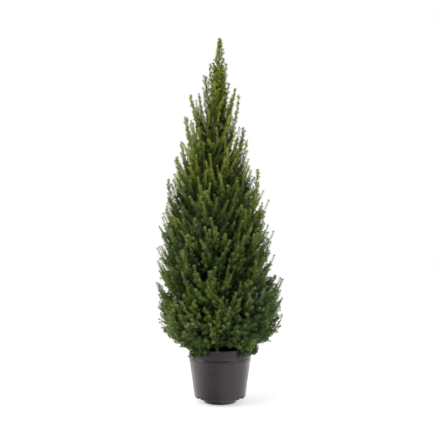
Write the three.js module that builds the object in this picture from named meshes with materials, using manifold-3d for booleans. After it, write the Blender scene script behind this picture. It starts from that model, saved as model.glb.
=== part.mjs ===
// A dwarf Alberta spruce in its nursery pot: a straight trunk, boughs that leave it all round and turn upwards, and
// foliage masses that close up into a slender cone with loose spires at its top. Millimetres, +Z up. The origin is the
// middle of the pot's flat underside, and -Y is the plant's front.

import * as THREE from "three";
import { mergeVertices } from "three/addons/utils/BufferGeometryUtils.js";
import Module from "manifold-3d";

const wasm = await Module();
wasm.setup();

// Crown
const TREE_TOP = 1405; // tip of the leader's foliage
const CROWN_RADIUS = 237; // at the widest height
const WIDEST_HEIGHT = 450;
const CROWN_FOOT = 203; // lowest foliage, which hangs past the rim
const FOOT_RADIUS = 130;
const TAPER_POWER = 1.33; // above the widest height: 1 is a straight cone, and more is fuller
const FOOT_POWER = 6; // below it: how late the crown rounds in
const SWAY = 30; // the upper crown stands this far to -X at most
const SWAY_FROM = 600;

// Pot, a thin moulding with a banded rim and a plinth that stands on the ground
const POT_HEIGHT = 213.5;
const RIM_RADIUS = 121.5;
const RIM_FOOT = 177.5; // lower edge of the rim band
const SHOULDER_FOOT = 158; // lower edge of the narrower band under it
const SHOULDER_RADIUS = 119.2;
const WALL_TOP_RADIUS = 117.6;
const WALL_FOOT_RADIUS = 98.4;
const WALL_FOOT = 20; // the wall ends this far above the ground
const PLINTH_RADIUS = 63;
const PLINTH_TAPER = 2;
const PLASTIC = 2;
const BAND_LIP = 1;
const CORNER = 4;
const POT_SIDES = 30;
const POT_TURN = 3; // degrees, so that no side's corner lies on the X or Y axis
const SLOT_TURNS = [35, 145, 215, 325]; // degrees from +X
const SLOT_WIDTH = 22;
const SLOT_RISE = 8;

// Compost and trunk
const COMPOST_TOP = 196;
const TRUNK_RADIUS = 12.5; // just above the flare
const TRUNK_TIP_RADIUS = 1.6;
const TRUNK_TIP = 1372;
const FLARE = 6.5; // added at the cut, and gone within FLARE_HEIGHT
const FLARE_HEIGHT = 34;
const TRUNK_SIDES = 8;
const TRUNK_STEPS = 12;

// Masses and boughs
const MASS_SIDES = 8;
const MASS_RINGS = 6;
const BOUGH_SIDES = 5;
const BOUGH_STEPS = 3;
const BOUGH_ENTRY = 0.3; // share of a mass's line that its bough reaches
const GAP = 0.35; // between solids that touch
const EDGE = 2; // a vertex moves this many times a gap, for the faces beside it to move by the gap

// One tier of masses is a ring. Heights are in millimetres. A share is the distance from the crown's middle line over
// the crown's radius at that height. A mass starts at its heel, swings out by its belly and ends at its tip.
const TIERS = [
  {
    name: "skirt",
    count: 6,
    turn: 8,
    heel: { height: 206, share: 0.9 },
    belly: { height: 290, share: 0.97 },
    tip: { height: 405, share: 0.9 },
    wide: 122,
    deep: 80,
    bough: { height: 226, radius: 5.2 },
  },
  {
    name: "lower",
    count: 6,
    turn: 38,
    heel: { height: 305, share: 0.55 },
    belly: { height: 420, share: 0.94 },
    tip: { height: 600, share: 0.92 },
    wide: 118,
    deep: 84,
    bough: { height: 292, radius: 4.8 },
  },
  {
    name: "middle",
    count: 6,
    turn: 10,
    heel: { height: 450, share: 0.5 },
    belly: { height: 600, share: 0.92 },
    tip: { height: 800, share: 0.92 },
    wide: 108,
    deep: 80,
    bough: { height: 430, radius: 4.2 },
  },
  {
    name: "upper",
    count: 5,
    turn: 36,
    heel: { height: 630, share: 0.5 },
    belly: { height: 790, share: 0.9 },
    tip: { height: 1010, share: 0.94 },
    wide: 96,
    deep: 68,
    bough: { height: 610, radius: 3.6 },
  },
  {
    name: "spire",
    count: 4,
    turn: 0,
    heel: { height: 830, share: 0.48 },
    belly: { height: 1000, share: 0.86 },
    tip: { height: 1215, share: 0.86 },
    wide: 66,
    deep: 48,
    bough: { height: 800, radius: 3 },
  },
];
const TIP_SPREAD = 42; // how far one tier's tips differ in height, either way
const LEADER_HEEL = 1030;
const LEADER_RADIUS = 31;

const FOLIAGE_COLOURS = [0x3d5723, 0x35501f, 0x46622a, 0x2f471d, 0x405a2c];

/** A number from -1 to 1 that looks random and is always the same for one index and one salt. */
function vary(index, salt) {
  const wave = Math.sin(index * 12.9898 + salt * 78.233) * 43758.5453;
  return 2 * (wave - Math.floor(wave)) - 1;
}

/** The crown's radius about its own middle line at a height. */
function crownRadius(height) {
  if (height >= WIDEST_HEIGHT) {
    const share = (height - WIDEST_HEIGHT) / (TREE_TOP - WIDEST_HEIGHT);
    return CROWN_RADIUS * (1 - Math.min(share, 1) ** TAPER_POWER);
  }
  const share = Math.min((WIDEST_HEIGHT - height) / (WIDEST_HEIGHT - CROWN_FOOT), 1);
  return THREE.MathUtils.lerp(CROWN_RADIUS, FOOT_RADIUS, share ** FOOT_POWER);
}

/** How far the crown's middle line stands to X at a height. */
function crownMiddle(height) {
  const share = THREE.MathUtils.clamp((height - SWAY_FROM) / (TREE_TOP - SWAY_FROM), 0, 1);
  return -SWAY * Math.sin(Math.PI * share);
}

/** The point of the crown at an angle, a height and a share of its radius there. */
function crownPoint(angle, height, share) {
  const reach = share * crownRadius(height);
  return new THREE.Vector3(
    crownMiddle(height) + reach * Math.cos(angle),
    reach * Math.sin(angle),
    height,
  );
}

/** The lowest that foliage may lie: clear of the rim inside it, and hanging a little past it outside. */
function foliageFloor(distance) {
  const past = THREE.MathUtils.smoothstep(distance, RIM_RADIUS + 4, RIM_RADIUS + 26);
  return THREE.MathUtils.lerp(POT_HEIGHT + 4, CROWN_FOOT, past);
}

/** A geometry with its seams and poles closed. */
function closed(geometry) {
  const bare = geometry.clone();
  bare.deleteAttribute("normal");
  bare.deleteAttribute("uv");
  return mergeVertices(bare, 1e-3);
}

/** The normal at each vertex, in which every triangle round it counts the same. */
function cornerNormals(geometry) {
  const [places, index] = [geometry.getAttribute("position"), geometry.getIndex()];
  const sums = Array.from({ length: places.count }, () => new THREE.Vector3());
  const triangle = new THREE.Triangle();
  const normal = new THREE.Vector3();
  for (let i = 0; i < index.count; i += 3) {
    const corners = [index.getX(i), index.getX(i + 1), index.getX(i + 2)];
    triangle.setFromAttributeAndIndices(places, ...corners).getNormal(normal);
    corners.forEach((corner) => sums[corner].add(normal));
  }
  return sums.flatMap((sum) => sum.normalize().toArray());
}

/** A closed three.js geometry as a solid, which a clearance swells: each vertex moves out along its own normal. */
function solidOf(geometry, clearance = 0) {
  const merged = closed(geometry);
  const normals = cornerNormals(merged);
  const places = merged.getAttribute("position").array;
  return new wasm.Manifold(
    new wasm.Mesh({
      numProp: 3,
      vertProperties: places.map((place, i) => place + clearance * normals[i]),
      triVerts: new Uint32Array(merged.index.array),
    }),
  );
}

/** The room that a shape takes up with the gap round it. */
function roomOf(geometry) {
  return solidOf(geometry, EDGE * GAP).add(solidOf(geometry));
}

/** A solid as a geometry. */
function geometryOf(solid) {
  const { vertProperties, triVerts } = solid.getMesh();
  const geometry = new THREE.BufferGeometry();
  geometry.setAttribute("position", new THREE.BufferAttribute(vertProperties, 3));
  geometry.setIndex(new THREE.BufferAttribute(triVerts, 1));
  geometry.computeVertexNormals();
  return geometry;
}

/** Whether the boxes round two solids meet. */
function near(a, b) {
  const [one, two] = [a.boundingBox(), b.boundingBox()];
  return [0, 1, 2].every((k) => one.min[k] <= two.max[k] && two.min[k] <= one.max[k]);
}

/** A solid less every one of the others that comes near it, with only its largest piece kept. */
function cutBy(solid, others) {
  const cut = others.reduce((left, other) => (near(left, other) ? left.subtract(other) : left), solid);
  const pieces = cut.simplify(0.05).decompose();
  return pieces.reduce((best, piece) => (piece.volume() > best.volume() ? piece : best));
}

/** Lays a unit geometry that turns about Y along a curve. y from -1 to 1 runs along the curve, and the ring at each y
 * becomes an ellipse whose two half-widths come from the share along the curve and the angle round it. The rings
 * stand square to the curve, or lie level where a level direction is given. */
function layAlong(geometry, curve, side, halfWidths, level = null) {
  const places = geometry.getAttribute("position");
  const vertex = new THREE.Vector3();
  for (let i = 0; i < places.count; i++) {
    vertex.fromBufferAttribute(places, i);
    const share = THREE.MathUtils.clamp((vertex.y + 1) / 2, 0, 1);
    const from = Math.hypot(vertex.x, vertex.z);
    const [x, z] = from > 1e-6 ? [vertex.x / from, vertex.z / from] : [0, 0];
    const [wide, deep] = halfWidths(share, Math.atan2(z, x));
    const over = level ?? new THREE.Vector3().crossVectors(curve.getTangent(share), side).normalize();
    const placed = curve.getPoint(share).addScaledVector(side, x * wide).addScaledVector(over, -z * deep);
    places.setXYZ(i, placed.x, placed.y, placed.z);
  }
  return geometry;
}

/** A tapering limb along a curve. */
function limb(curve, side, radius, sides, steps) {
  const rod = new THREE.CylinderGeometry(1, 1, 2, sides, steps);
  return layAlong(rod, curve, side, (share) => [radius(share), radius(share)]);
}

/** The trunk's line: almost upright, with the crown's sway in its upper half. */
function trunkCurve() {
  const heights = [COMPOST_TOP + GAP, 420, 700, 980, 1200, TRUNK_TIP];
  return new THREE.CatmullRomCurve3(
    heights.map((height, i) => {
      return new THREE.Vector3(0.35 * crownMiddle(height), 2.5 * vary(i, 3) * (i > 0), height);
    }),
  );
}

/** The trunk's radius along its line. */
function trunkRadius(share) {
  const above = share * (TRUNK_TIP - COMPOST_TOP);
  const flare = FLARE * Math.max(0, 1 - above / FLARE_HEIGHT) ** 2;
  return THREE.MathUtils.lerp(TRUNK_RADIUS, TRUNK_TIP_RADIUS, share ** 0.9) + flare;
}

/** The trunk, cut flat where it meets the compost. */
function trunkShape() {
  const rod = limb(trunkCurve(), new THREE.Vector3(0, 1, 0), trunkRadius, TRUNK_SIDES, TRUNK_STEPS);
  const places = rod.getAttribute("position");
  for (let i = 0; i < places.count; i++) {
    if (places.getZ(i) < COMPOST_TOP + 3) places.setZ(i, COMPOST_TOP + GAP);
  }
  return rod;
}

/** Every mass's name and line. The tips of a tier differ in height and reach, so that no two masses are alike. */
function planMasses() {
  const planned = [];
  TIERS.forEach((tier, level) => {
    for (let i = 0; i < tier.count; i++) {
      const salt = level * 7 + 1;
      const angle = THREE.MathUtils.degToRad(tier.turn + (360 / tier.count) * i + 7 * vary(i, salt));
      const lift = TIP_SPREAD * vary(i, salt + 1);
      const reach = 1 + 0.04 * vary(i, salt + 2);
      planned.push({
        name: `${tier.name}_mass_${i + 1}`,
        tier,
        index: planned.length,
        angle,
        curve: new THREE.QuadraticBezierCurve3(
          crownPoint(angle, tier.heel.height + 0.3 * lift, tier.heel.share),
          crownPoint(angle, tier.belly.height + 0.3 * lift, tier.belly.share * reach),
          crownPoint(angle + 0.1 * vary(i, salt + 3), tier.tip.height + lift, tier.tip.share * reach),
        ),
      });
    }
  });
  return planned;
}

/** The profile of a mass along its line, which is fullest at a share of it and pointed at its tip. */
function massProfile(share, fullest) {
  const power = Math.log(0.5) / Math.log(fullest);
  return Math.max(Math.sin(Math.PI * share ** power), 0) ** 0.75;
}

/** Pulls the vertices of a mass in to the crown's outline, and lifts them clear of the pot. */
function trimToCrown(geometry) {
  const places = geometry.getAttribute("position");
  for (let i = 0; i < places.count; i++) {
    const [x, y, z] = [places.getX(i), places.getY(i), places.getZ(i)];
    const height = Math.max(z, foliageFloor(Math.hypot(x, y)));
    const middle = crownMiddle(height);
    const reach = Math.hypot(x - middle, y);
    const most = crownRadius(height) * (1 + 0.03 * Math.sin(9 * Math.atan2(y, x)));
    const share = Math.min(1, most / reach);
    places.setXYZ(i, middle + (x - middle) * share, y * share, height);
  }
  return geometry;
}

/** One mass: a swollen, uneven drop along its line. */
function massShape({ tier, index, angle, curve }) {
  const side = new THREE.Vector3(-Math.sin(angle), Math.cos(angle), 0);
  const level = new THREE.Vector3(-Math.cos(angle), -Math.sin(angle), 0);
  const drop = new THREE.SphereGeometry(1, MASS_SIDES, MASS_RINGS);
  const halfWidths = (share, round) => {
    const broad = 0.09 * Math.sin(3 * round + 5 * share + index);
    const fine = 0.06 * Math.sin(2 * round - 8 * share + 2 * index);
    const swell = massProfile(share, 0.38) * (1 + broad + fine);
    return [tier.wide * swell, tier.deep * swell];
  };
  return trimToCrown(layAlong(drop, curve, side, halfWidths, level));
}

/** The leader's mass, a narrow spike round the top of the trunk. */
function leaderShape() {
  const line = new THREE.LineCurve3(crownPoint(0, LEADER_HEEL, 0), crownPoint(0, TREE_TOP, 0));
  const drop = new THREE.SphereGeometry(1, MASS_SIDES, MASS_RINGS);
  layAlong(drop, line, new THREE.Vector3(0, 1, 0), (share, round) => {
    const lumps = 1 + 0.14 * Math.sin(3 * round + 9 * share) + 0.1 * Math.sin(2 * round - 14 * share);
    const swell = LEADER_RADIUS * massProfile(share, 0.5) * lumps;
    return [swell, swell];
  });
  return drop;
}

/** The line of the bough that carries a mass: out of the trunk, then turning up into the mass. */
function boughCurve({ tier, index, angle, curve }) {
  const start = trunkCurve().getPoint((tier.bough.height - COMPOST_TOP) / (TRUNK_TIP - COMPOST_TOP));
  start.z += index % 2 ? 9 : -9;
  const end = curve.getPoint(BOUGH_ENTRY);
  const bend = new THREE.Vector3(
    THREE.MathUtils.lerp(start.x, end.x, 0.62) + 6 * vary(index, 5) * Math.sin(angle),
    THREE.MathUtils.lerp(start.y, end.y, 0.62) + 6 * vary(index, 5) * Math.cos(angle),
    THREE.MathUtils.lerp(start.z, end.z, 0.4),
  );
  return new THREE.QuadraticBezierCurve3(start, bend, end);
}

/** One bough. */
function boughShape(mass) {
  const side = new THREE.Vector3(-Math.sin(mass.angle), Math.cos(mass.angle), 0);
  const radius = (share) => mass.tier.bough.radius * THREE.MathUtils.lerp(1, 0.6, share);
  return limb(boughCurve(mass), side, radius, BOUGH_SIDES, BOUGH_STEPS);
}

/** The pot: one thin wall with a rim band, a shoulder band and a plinth, and slots where the wall meets its floor. */
function potSolid() {
  const inner = (radius) => radius - PLASTIC;
  const outline = [
    [0, 0],
    [PLINTH_RADIUS, 0],
    [PLINTH_RADIUS + PLINTH_TAPER, WALL_FOOT],
    [WALL_FOOT_RADIUS - CORNER, WALL_FOOT],
    [WALL_FOOT_RADIUS, WALL_FOOT + CORNER],
    [WALL_TOP_RADIUS, SHOULDER_FOOT],
    [SHOULDER_RADIUS, SHOULDER_FOOT + 1.5],
    [SHOULDER_RADIUS, RIM_FOOT],
    [RIM_RADIUS - BAND_LIP, RIM_FOOT + 1],
    [RIM_RADIUS, POT_HEIGHT],
    [inner(RIM_RADIUS), POT_HEIGHT],
    [inner(RIM_RADIUS - BAND_LIP), RIM_FOOT],
    [inner(WALL_TOP_RADIUS), SHOULDER_FOOT],
    [inner(WALL_FOOT_RADIUS), WALL_FOOT + PLASTIC],
    [inner(PLINTH_RADIUS + PLINTH_TAPER), WALL_FOOT + PLASTIC],
    [inner(PLINTH_RADIUS), PLASTIC],
    [0, PLASTIC],
  ];
  const lathe = new THREE.LatheGeometry(outline.map(([x, y]) => new THREE.Vector2(x, y)), POT_SIDES);
  lathe.rotateX(Math.PI / 2).rotateZ(THREE.MathUtils.degToRad(POT_TURN));
  let pot = solidOf(lathe);
  SLOT_TURNS.forEach((turn) => {
    const slot = new THREE.BoxGeometry(20, SLOT_WIDTH, 2 * SLOT_RISE);
    slot.translate(WALL_FOOT_RADIUS, 0, WALL_FOOT);
    slot.rotateZ(THREE.MathUtils.degToRad(turn));
    pot = pot.subtract(solidOf(slot));
  });
  return pot;
}

/** The room that the pot takes up, with a clearance over its rim and round it. */
function potRoom() {
  const radius = RIM_RADIUS + 3;
  const room = new THREE.CylinderGeometry(radius, radius, POT_HEIGHT + 2, POT_SIDES / 2 + 4);
  room.rotateX(Math.PI / 2);
  room.translate(0, 0, (POT_HEIGHT + 2) / 2);
  return solidOf(room);
}

/** The compost: it fills the pot a little short of its rim, and is mounded round the trunk. */
function compostSolid() {
  const inside = (radius) => radius - PLASTIC - GAP;
  const slope = (WALL_TOP_RADIUS - WALL_FOOT_RADIUS) / (SHOULDER_FOOT - WALL_FOOT);
  const outline = [
    [0, PLASTIC + GAP],
    [inside(PLINTH_RADIUS), PLASTIC + GAP],
    [inside(PLINTH_RADIUS + PLINTH_TAPER), WALL_FOOT + PLASTIC + GAP],
    [inside(WALL_FOOT_RADIUS) - 1, WALL_FOOT + PLASTIC + GAP],
    [inside(WALL_TOP_RADIUS) - 1, SHOULDER_FOOT],
    [inside(WALL_TOP_RADIUS) - 1 + slope, COMPOST_TOP - 7],
    [60, COMPOST_TOP - 3],
    [24, COMPOST_TOP],
    [0, COMPOST_TOP],
  ];
  const lathe = new THREE.LatheGeometry(outline.map(([x, y]) => new THREE.Vector2(x, y)), POT_SIDES / 2);
  lathe.rotateX(Math.PI / 2).rotateZ(THREE.MathUtils.degToRad(POT_TURN));
  return solidOf(lathe);
}

const bark = new THREE.MeshStandardMaterial({ color: 0x5a4536, roughness: 0.9, metalness: 0 });
const plastic = new THREE.MeshStandardMaterial({ color: 0x454042, roughness: 0.42, metalness: 0 });
const compost = new THREE.MeshStandardMaterial({ color: 0x2a1e17, roughness: 0.95, metalness: 0 });
const foliage = FOLIAGE_COLOURS.map(
  (color) => new THREE.MeshStandardMaterial({ color, roughness: 0.7, metalness: 0 }),
);

const plant = new THREE.Group();

/** Adds a solid to the plant as a named mesh. */
function add(name, solid, material) {
  const mesh = new THREE.Mesh(geometryOf(solid), material);
  mesh.name = name;
  plant.add(mesh);
}

add("pot", potSolid(), plastic);
add("compost", compostSolid(), compost);
add("trunk", solidOf(trunkShape()), bark);

const masses = planMasses();
const trunkRoom = roomOf(trunkShape());
const taken = [potRoom(), trunkRoom, ...masses.map((mass) => roomOf(boughShape(mass)))];
masses.forEach((mass, i) => {
  add(mass.name.replace("mass", "bough"), cutBy(solidOf(boughShape(mass)), [trunkRoom]), bark);
  add(mass.name, cutBy(solidOf(massShape(mass)), taken), foliage[i % foliage.length]);
  taken.push(roomOf(massShape(mass)));
});
add("leader_mass", cutBy(solidOf(leaderShape()), taken), foliage[2]);

export default plant;
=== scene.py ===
"""A dwarf Alberta spruce in its nursery pot: trunk, boughs, twigs with needles, compost and a moulded pot."""

import logging
import math
from dataclasses import dataclass, fields
from enum import Enum

import bpy
import numpy as np
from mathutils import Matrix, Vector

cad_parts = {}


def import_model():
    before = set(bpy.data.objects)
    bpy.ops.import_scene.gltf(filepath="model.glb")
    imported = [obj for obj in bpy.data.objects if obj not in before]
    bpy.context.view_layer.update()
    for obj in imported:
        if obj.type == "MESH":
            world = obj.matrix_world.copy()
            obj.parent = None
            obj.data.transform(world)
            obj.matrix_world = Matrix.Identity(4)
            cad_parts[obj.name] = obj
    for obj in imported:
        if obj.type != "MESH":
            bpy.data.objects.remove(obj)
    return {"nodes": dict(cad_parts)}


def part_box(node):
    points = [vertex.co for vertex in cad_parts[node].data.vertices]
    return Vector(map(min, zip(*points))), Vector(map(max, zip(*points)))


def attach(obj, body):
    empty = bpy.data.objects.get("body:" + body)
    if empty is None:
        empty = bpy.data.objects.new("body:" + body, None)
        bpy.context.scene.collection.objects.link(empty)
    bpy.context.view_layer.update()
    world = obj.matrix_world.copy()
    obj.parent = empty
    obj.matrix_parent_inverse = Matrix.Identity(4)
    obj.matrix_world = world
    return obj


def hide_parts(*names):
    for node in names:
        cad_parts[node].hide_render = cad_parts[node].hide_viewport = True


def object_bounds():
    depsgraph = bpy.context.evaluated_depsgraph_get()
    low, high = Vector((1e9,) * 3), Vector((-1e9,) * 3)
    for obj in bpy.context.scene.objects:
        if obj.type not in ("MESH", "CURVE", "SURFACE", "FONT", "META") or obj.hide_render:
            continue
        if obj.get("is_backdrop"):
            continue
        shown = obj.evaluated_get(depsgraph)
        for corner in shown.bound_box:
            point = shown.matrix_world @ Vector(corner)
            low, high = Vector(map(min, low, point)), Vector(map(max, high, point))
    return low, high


LOG = logging.getLogger("spruce")
SEED = 20
GOLDEN = math.pi * (3 - math.sqrt(5))
MM = 0.001
UP = np.array([0.0, 0.0, 1.0])
LEVEL = np.array([1.0, 1.0, 0.0])  # a vector times this is its level part
TIERS = ("skirt", "lower", "middle", "upper", "spire", "leader")

Array = np.ndarray
Solid = tuple[Array, list[Array]]  # vertices, and faces by number of corners
Material = bpy.types.Material
Tree = bpy.types.NodeTree
Socket = bpy.types.NodeSocket
Colour = tuple[float, float, float, float]
Triple = tuple[float, float, float]
Pairs = tuple[tuple[float, float], ...]
Span = tuple[float, float]  # where a change starts, and how much further on it is complete
Range = tuple[float, float]  # from one value to another


def linear(hex_code: str) -> Colour:
    """Turns an sRGB hex colour into linear light.

    Args:
        hex_code: six hex digits after a hash.

    Returns:
        Red, green, blue and a full alpha. A channel c is c / 12.92 up to 0.04045, and above it
        (c + 0.055) / 1.055 to the power 2.4.
    """
    channels = (int(hex_code[i : i + 2], 16) / 255 for i in (1, 3, 5))
    red, green, blue = (c / 12.92 if c <= 0.04045 else ((c + 0.055) / 1.055) ** 2.4 for c in channels)
    return red, green, blue, 1.0


# ---------------------------------------------------------------- surfaces


def unit(vectors: Array) -> Array:
    """Scales each vector, along the last axis, to length one."""
    return vectors / np.maximum(np.linalg.norm(vectors, axis=-1, keepdims=True), 1e-9)


def grade(value: Array, start: float, span: float) -> Array:
    """Rises in a straight line from 0 at the start to 1 a span further on, and is level beyond them."""
    return np.clip((value - start) / span, 0, 1)


def outward(turn: Array) -> Array:
    """Finds the level direction at each angle from +X."""
    return np.stack([np.cos(turn), np.sin(turn), 0 * turn], axis=-1)


def angle_from(turn: Array, other: float) -> Array:
    """Finds how far angles are from another, between half a turn back and half a turn on."""
    return (turn - other + math.pi) % math.tau - math.pi


def turned(first: Array, second: Array, angle: Array) -> Array:
    """Turns directions towards others square to them: the angle's cosine of one and its sine of the other."""
    return np.cos(angle)[..., None] * first + np.sin(angle)[..., None] * second


def upright(sideways: Array, height: Array) -> Array:
    """Puts points together from their places along X and their heights, with none along Y."""
    return np.stack([sideways, 0 * sideways, height + 0 * sideways], axis=-1)


def dealt(counts: Array) -> tuple[Array, Array]:
    """Numbers things that owners have counts of: each thing's owner, and its place among the owner's."""
    owner = np.repeat(np.arange(len(counts)), counts)
    return owner, np.arange(len(owner)) - (np.cumsum(counts) - counts)[owner]


def across(along: Array, pole: Array | None = None) -> tuple[Array, Array]:
    """Finds two directions square to each given one and to each other.

    Args:
        along: unit directions on the last axis.
        pole: directions that none of them follows, or None to choose world Z or X for each.

    Returns:
        The cross product of pole and direction, and that of the direction and the first result.
    """
    if pole is None:
        pole = np.where(np.abs(along[..., 2:]) > 0.9, np.array([1.0, 0.0, 0.0]), UP)
    first = unit(np.cross(pole, along))
    return first, np.cross(along, first)


def bezier(curves: Array, share: Array) -> tuple[Array, Array]:
    """Finds points and unit tangents on cubic Bezier curves.

    Args:
        curves: control points, shaped (..., 4, 3).
        share: the place on each curve from 0 to 1, whose axes match the leading ones of the curves.

    Returns:
        The Bernstein sum of the four control points, and its derivative scaled to length one.
    """
    t = share[..., None]
    s = 1 - t
    a, b, c, d = (curves[..., i, :] for i in range(4))
    points = s**3 * a + 3 * s * s * t * b + 3 * s * t * t * c + t**3 * d
    return points, unit(s * s * (b - a) + 2 * s * t * (c - b) + t * t * (d - c))


def arc_lengths(curves: Array) -> Array:
    """Finds each Bezier curve's length, near enough: the mean of its control line and its chord."""
    steps = np.linalg.norm(np.diff(curves, axis=1), axis=-1).sum(axis=1)
    return (steps + np.linalg.norm(curves[:, 3] - curves[:, 0], axis=-1)) / 2


def between(foot: Array, tip: Array, sets_out: Array, arrives: Array) -> Array:
    """Lays Bezier curves between two points each.

    Args:
        foot: first points, shaped (n, 3).
        tip: last points.
        sets_out: unit directions at the first points.
        arrives: unit directions at the last points.

    Returns:
        Control points, shaped (n, 4, 3), with each handle a third of the chord long.
    """
    third = np.linalg.norm(tip - foot, axis=-1, keepdims=True) / 3
    return np.stack([foot, foot + third * sets_out, tip - third * arrives, tip], axis=1)


def ripple(u: Array, v: Array, seed: int, octaves: int = 4) -> Array:
    """A smooth uneven field over two coordinates that are counted in periods.

    Args:
        u: first coordinate.
        v: second coordinate.
        seed: picks the field.
        octaves: layers of waves, each twice as fine and half as high as the last.

    Returns:
        The sum of three crossing sine waves in each layer, from about -1 to 1. It closes over a whole
        number of periods in u, because each wave's pace in u is a whole number.
    """
    rng = np.random.default_rng(seed)
    total = np.zeros(np.broadcast(u, v).shape)
    for octave in range(octaves):
        for pace in (1, -1, 0):
            wave = (u * pace + v * rng.uniform(0.5, 1.0)) * 2**octave * math.tau
            total += np.sin(wave + rng.uniform(0, math.tau)) / (3 * 2**octave)
    return total


def grid_faces(rows: int, columns: int) -> Array:
    """Numbers the quads between closed rings of vertices stored ring by ring.

    Args:
        rows: number of rings.
        columns: vertices in a ring.

    Returns:
        Quads, shaped (n, 4), which face outwards when rings turn anticlockwise about the way they advance.
    """
    row, column = np.meshgrid(np.arange(rows - 1) * columns, np.arange(columns), indexing="ij")
    after = (column + 1) % columns
    corners = (row + column, row + after, row + columns + after, row + columns + column)
    return np.stack([corner.ravel() for corner in corners], axis=1)


def many(faces: Array, size: int, count: int) -> Array:
    """Repeats the faces of one small mesh for count copies that hold size vertices each."""
    return (faces[None] + size * np.arange(count)[:, None, None]).reshape(-1, faces.shape[1])


def closed(rows: int, columns: int, count: int) -> list[Array]:
    """Numbers the faces of count closed tubes, each of rows rings: their walls, and the two ends of each."""
    size = rows * columns
    ends = np.stack([np.arange(columns)[::-1], size - columns + np.arange(columns)])
    return [many(grid_faces(rows, columns), size, count), many(ends, size, count)]


def sweep(points: Array, radii: Array, sides: int) -> Solid:
    """Carries a circle along each of many lines of points, and closes the ends.

    Args:
        points: lines, shaped (n, stations, 3).
        radii: the circle's radius, shaped (n, stations) or, where it is uneven, (n, stations, sides).
        sides: corners of the circle.

    Returns:
        Vertices and faces. A vertex is its station plus the radius times the cosine of its angle along one
        direction square to the line and the sine along the other.
    """
    count, stations = points.shape[:2]
    along = unit(np.gradient(points, axis=1))
    mean = unit(along.mean(axis=1, keepdims=True))
    pole = np.cross(mean, across(mean)[0])
    side, over = across(along, np.broadcast_to(pole, along.shape))
    ring = turned(side[:, :, None], over[:, :, None], np.arange(sides) / sides * math.tau)
    if radii.ndim == 2:
        radii = radii[..., None]
    vertices = points[:, :, None] + radii[..., None] * ring
    return vertices.reshape(-1, 3), closed(stations, sides, count)


def revolve(profile: Array, columns: int) -> Solid:
    """Turns a profile about Z.

    Args:
        profile: radius and height of each point, shaped (n, 2). Its first and last points are on the axis,
            and it runs outwards along the underside, up the outside and back.
        columns: steps round.

    Returns:
        Vertices and faces: rings at radius times cosine and sine of the angle, with a fan at each pole.
    """
    turn = np.arange(columns) / columns * math.tau
    rings = profile[1:-1]
    vertices = rings[:, None, :1] * outward(turn)[None] + rings[:, None, 1:] * UP
    poles = profile[[0, -1], 1:] * UP
    last = len(rings) * columns
    ring, after = np.arange(columns), (np.arange(columns) + 1) % columns
    top = last - columns
    low_fan = np.stack([np.full(columns, last), after, ring], axis=1)
    high_fan = np.stack([np.full(columns, last + 1), top + ring, top + after], axis=1)
    corners = np.concatenate([vertices.reshape(-1, 3), poles])
    return corners, [grid_faces(len(rings), columns), np.concatenate([low_fan, high_fan])]


def rounded(corners: list[Triple], steps: int = 5) -> Array:
    """Rounds the corners of a profile between its first and last points.

    Args:
        corners: first and second coordinate of each corner, and how far from it the rounding starts.
        steps: points on each rounding.

    Returns:
        Points in order. A rounding is the quadratic Bezier curve whose middle control point is the corner.
    """
    places = np.array([corner[:2] for corner in corners])
    pieces = [places[:1]]
    t = np.linspace(0, 1, steps)[:, None]
    for i in range(1, len(corners) - 1):
        size = corners[i][2]
        start = places[i] + size * unit(places[i - 1] - places[i])
        end = places[i] + size * unit(places[i + 1] - places[i])
        pieces.append((1 - t) ** 2 * start + 2 * t * (1 - t) * places[i] + t**2 * end)
    return np.concatenate([*pieces, places[-1:]])


def refined(profile: Array, longest: float) -> Array:
    """Adds points to a profile so that no step is longer than the given length."""
    pieces = [
        a + (b - a) * np.linspace(0, 1, max(1, math.ceil(math.dist(a, b) / longest)), endpoint=False)[:, None]
        for a, b in zip(profile[:-1], profile[1:])
    ]
    return np.concatenate([*pieces, profile[-1:]])


def build_mesh(
    name: str,
    vertices: Array,
    faces: list[Array],
    materials: list[Material],
    finish: Array | None = None,
    smooth: bool = True,
) -> bpy.types.Object:
    """Puts arrays of vertices and faces into a new object at the origin.

    Args:
        name: the object's name.
        vertices: places in metres, shaped (n, 3).
        faces: arrays of vertex numbers, each with its own number of corners to a face.
        materials: the object's material slots in order.
        finish: the slot of each face, or None for the first slot throughout.
        smooth: whether faces are shaded smooth.

    Returns:
        The linked object.
    """
    mesh = bpy.data.meshes.new(name)
    sizes = np.concatenate([np.full(len(group), group.shape[1]) for group in faces])
    mesh.vertices.add(len(vertices))
    mesh.vertices.foreach_set("co", vertices.astype(np.float32).ravel())
    mesh.loops.add(int(sizes.sum()))
    mesh.loops.foreach_set("vertex_index", np.concatenate([g.ravel() for g in faces]).astype(np.int32))
    mesh.polygons.add(len(sizes))
    mesh.polygons.foreach_set("loop_start", (np.cumsum(sizes) - sizes).astype(np.int32))
    for material in materials:
        mesh.materials.append(material)
    if finish is not None:
        mesh.polygons.foreach_set("material_index", finish.astype(np.int32))
    mesh.polygons.foreach_set("use_smooth", np.full(len(sizes), smooth))
    mesh.update(calc_edges=True)
    piece = bpy.data.objects.new(name, mesh)
    bpy.context.scene.collection.objects.link(piece)
    return piece


def place(piece: bpy.types.Object, slot: str, *nodes: str) -> None:
    """Puts a piece on the part, hides the CAD nodes that it stands for, and logs its faces."""
    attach(piece, "root")
    if nodes:
        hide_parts(*nodes)
    LOG.info("%s: %d faces", piece.name, len(piece.data.polygons))


# ---------------------------------------------------------------- finishes


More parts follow.
